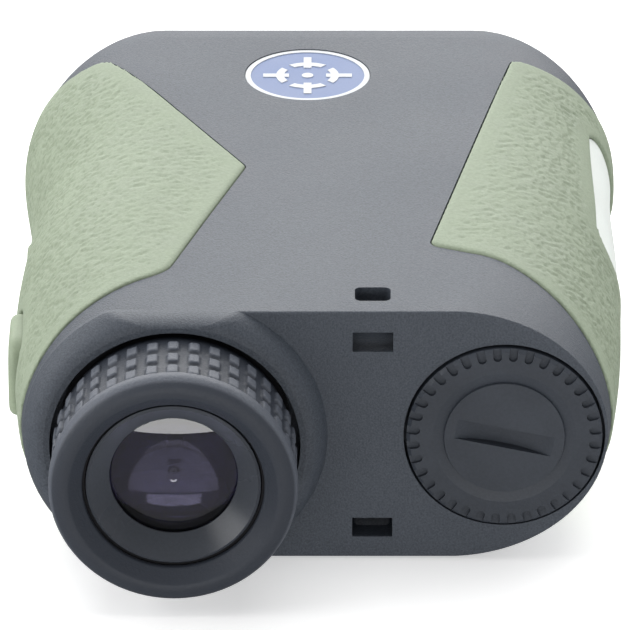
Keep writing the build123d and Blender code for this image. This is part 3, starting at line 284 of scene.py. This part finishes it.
def in_row_frame(node):
    """A welded copy of a CAD node's mesh, in the row frame."""
    shape = bmesh.new()
    shape.from_mesh(node.data)
    shape.transform(node.matrix_world)
    bmesh.ops.remove_doubles(shape, verts=shape.verts, dist=WELD)
    return shape


def softened(node_name, body, slot_name, voxel, passes):
    """Stand-in for a CAD node whose edges are rounded by a fine remesh and smoothing."""
    shape = in_row_frame(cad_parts[node_name])
    raw = bpy.data.meshes.new(node_name + "_raw")
    shape.to_mesh(raw)
    shape.free()
    holder = bpy.data.objects.new(node_name + "_raw", raw)
    bpy.context.scene.collection.objects.link(holder)
    remesh = holder.modifiers.new("remesh", "REMESH")
    remesh.mode = "VOXEL"
    remesh.voxel_size = voxel
    smooth = holder.modifiers.new("smooth", "SMOOTH")
    smooth.factor = 0.5
    smooth.iterations = passes
    solved = holder.evaluated_get(bpy.context.evaluated_depsgraph_get())
    mesh = bpy.data.meshes.new_from_object(solved)
    bpy.data.objects.remove(holder)
    mesh.name = node_name + "_soft"
    mesh.materials.clear()
    mesh.materials.append(FINISHES[slot_name])
    mesh.shade_smooth()
    piece = bpy.data.objects.new(node_name + "_soft", mesh)
    bpy.context.scene.collection.objects.link(piece)
    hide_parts(node_name)
    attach(piece, body)
    return piece


SHARP = math.radians(40)
EDGE_STEP = 0.4 * MM          # spacing of the points along an edge


def edge_tree(node_name):
    """Points along the sharp edges of a CAD node, for finding the way to its border."""
    shape = in_row_frame(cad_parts[node_name])
    points = []
    for edge in shape.edges:
        if len(edge.link_faces) == 2 and edge.calc_face_angle() > SHARP:
            first, last = edge.verts[0].co, edge.verts[1].co
            count = max(1, int((last - first).length / EDGE_STEP))
            points += [first.lerp(last, step / count) for step in range(count + 1)]
    shape.free()
    tree = KDTree(len(points))
    for index, point in enumerate(points):
        tree.insert(point, index)
    tree.balance()
    return tree


BORDER_FLAT = 1.8 * MM       # smooth border of the pads
BORDER_FADE = 1.6 * MM       # from there to full depth
CREASE_DEPTH = 0.26 * MM
CREASE_ACROSS, CREASE_ALONG = 0.80 * MM, 0.58 * MM
FINER, FINER_SHARE = 1.9, 0.6        # a second, finer set of dents
DENT_GAIN = 2.2
WARP_SIZE, WARP = 2.6 * MM, 0.6      # how the dents wander
SIDE_NEAR, SIDE_FAR = 26 * MM, 38 * MM
SHALLOW = 0.55               # depth on the wide face, against 1 on the side


def between(value, start, end):
    """How far a value is from start to end, from 0 to 1."""
    return min(1.0, max(0.0, (value - start) / (end - start)))


def crease(piece, node_name):
    """Presses fine leather-like creases into the outer face of a pad, fading towards its border."""
    tree = edge_tree(node_name)
    mesh = piece.data
    normals = [vertex.normal.copy() for vertex in mesh.vertices]
    for vertex, normal in zip(mesh.vertices, normals):
        place = vertex.co
        outward = Vector((place.x, 0, place.z - MID_Z))
        if normal.dot(outward) <= 0:
            continue
        away = tree.find(place)[2]
        border = between(away, BORDER_FLAT, BORDER_FLAT + BORDER_FADE)
        if border == 0:
            continue
        side = between(abs(place.x), SIDE_NEAR, SIDE_FAR)
        warp = relief.noise_vector(place / WARP_SIZE) * WARP
        where = Vector((place.x / CREASE_ACROSS, place.y / CREASE_ALONG, place.z / CREASE_ACROSS)) + warp
        dents = relief.noise(where) + FINER_SHARE * relief.noise(where * FINER)
        depth = between(dents * DENT_GAIN, 0, 1) * border * (SHALLOW + (1 - SHALLOW) * side)
        vertex.co = place - normal * (CREASE_DEPTH * depth)


VOXEL_PAD, PASSES_PAD = 0.33 * MM, 5
VOXEL_CUP, PASSES_CUP = 0.215 * MM, 1
RELIEF_SEED = 7              # without it the dents differ from run to run
relief.seed_set(RELIEF_SEED)
for pad in ("left_armour", "right_armour"):
    crease(softened(pad, "root", "armour_rubber", VOXEL_PAD, PASSES_PAD), pad)
softened("eyecup", "diopter", "eyecup_rubber", VOXEL_CUP, PASSES_CUP)


# ---------------------------------------------------------------- floor, lights, camera
FLOOR_HALF = 3.0
FLOOR_GLOW = 0.45            # the floor glows a little, so that its shadows stay pale


def add_floor():
    """Pale studio floor under the instrument. It doesn't show in glossy reflections."""
    signs = ((-1, -1), (1, -1), (1, 1), (-1, 1))
    mesh = bpy.data.meshes.new("floor")
    mesh.from_pydata([(x * FLOOR_HALF, y * FLOOR_HALF, 0) for x, y in signs], [], [(0, 1, 2, 3)])
    floor = bpy.data.objects.new("floor", mesh)
    bpy.context.scene.collection.objects.link(floor)
    material = new_material("floor_paper", (0.90, 0.90, 0.90), 0.9, Emission_Color=(1, 1, 1, 1),
                            Emission_Strength=FLOOR_GLOW)
    vector = coordinates(material)
    vary_colour(material, noise(material, vector, 4 * MM, detail=3), (0.85, 0.85, 0.85), (0.87, 0.87, 0.87))
    mesh.materials.append(material)
    floor.visible_glossy = False


PANEL_AIM = Vector((0, 0, 0.02))


def add_panel(name, place, size, radiance):
    """Soft rectangular light of the given size, aimed at the instrument."""
    light = bpy.data.lights.new(name, "AREA")
    light.shape = "RECTANGLE"
    light.size, light.size_y = size
    light.energy = radiance * 4 * size[0] * size[1]
    panel = bpy.data.objects.new(name, light)
    panel.location = place
    panel.rotation_euler = (PANEL_AIM - Vector(place)).to_track_quat("-Z", "Y").to_euler()
    bpy.context.scene.collection.objects.link(panel)


def add_world(strength):
    """Even white surroundings."""
    world = bpy.data.worlds.new("studio")
    world.use_nodes = True
    background = world.node_tree.nodes["Background"]
    background.inputs["Color"].default_value = (1, 1, 1, 1)
    background.inputs["Strength"].default_value = strength
    bpy.context.scene.world = world


CAMERA_PLACE = Vector((-0.656, -859.26, 433.22)) * MM
CAMERA_AIM = Vector((-0.656, -1.405, 17.479)) * MM
CAMERA_LENS, CAMERA_SENSOR = 400, 36
CAMERA_REACH = 20


def add_camera():
    """Long lens behind and above the eyepiece, as in the photo."""
    camera = bpy.data.cameras.new("camera")
    camera.lens = CAMERA_LENS
    camera.sensor_width = CAMERA_SENSOR
    camera.clip_end = CAMERA_REACH
    holder = bpy.data.objects.new("camera", camera)
    holder.location = CAMERA_PLACE
    holder.rotation_euler = (CAMERA_AIM - CAMERA_PLACE).to_track_quat("-Z", "Y").to_euler()
    bpy.context.scene.collection.objects.link(holder)
    bpy.context.scene.camera = holder


WORLD_STRENGTH = 0.22
PANELS = (                   # name, place, size and radiance
    ("back_panel", (0, 1.1, 0.62), (2.0, 1.0), 3.0),
    ("top_panel", (0, 0.25, 1.3), (1.4, 1.2), 1.6),
    ("left_panel", (-1.1, 0.0, 0.5), (1.0, 0.8), 2.9),
    ("right_panel", (1.1, 0.2, 0.5), (1.0, 0.8), 1.0),
    ("front_panel", (-0.05, -1.5, 0.26), (1.9, 0.40), 2.6),
)

add_floor()
add_world(WORLD_STRENGTH)
for panel in PANELS:
    add_panel(*panel)
add_camera()
bpy.context.scene.view_settings.view_transform = "Standard"
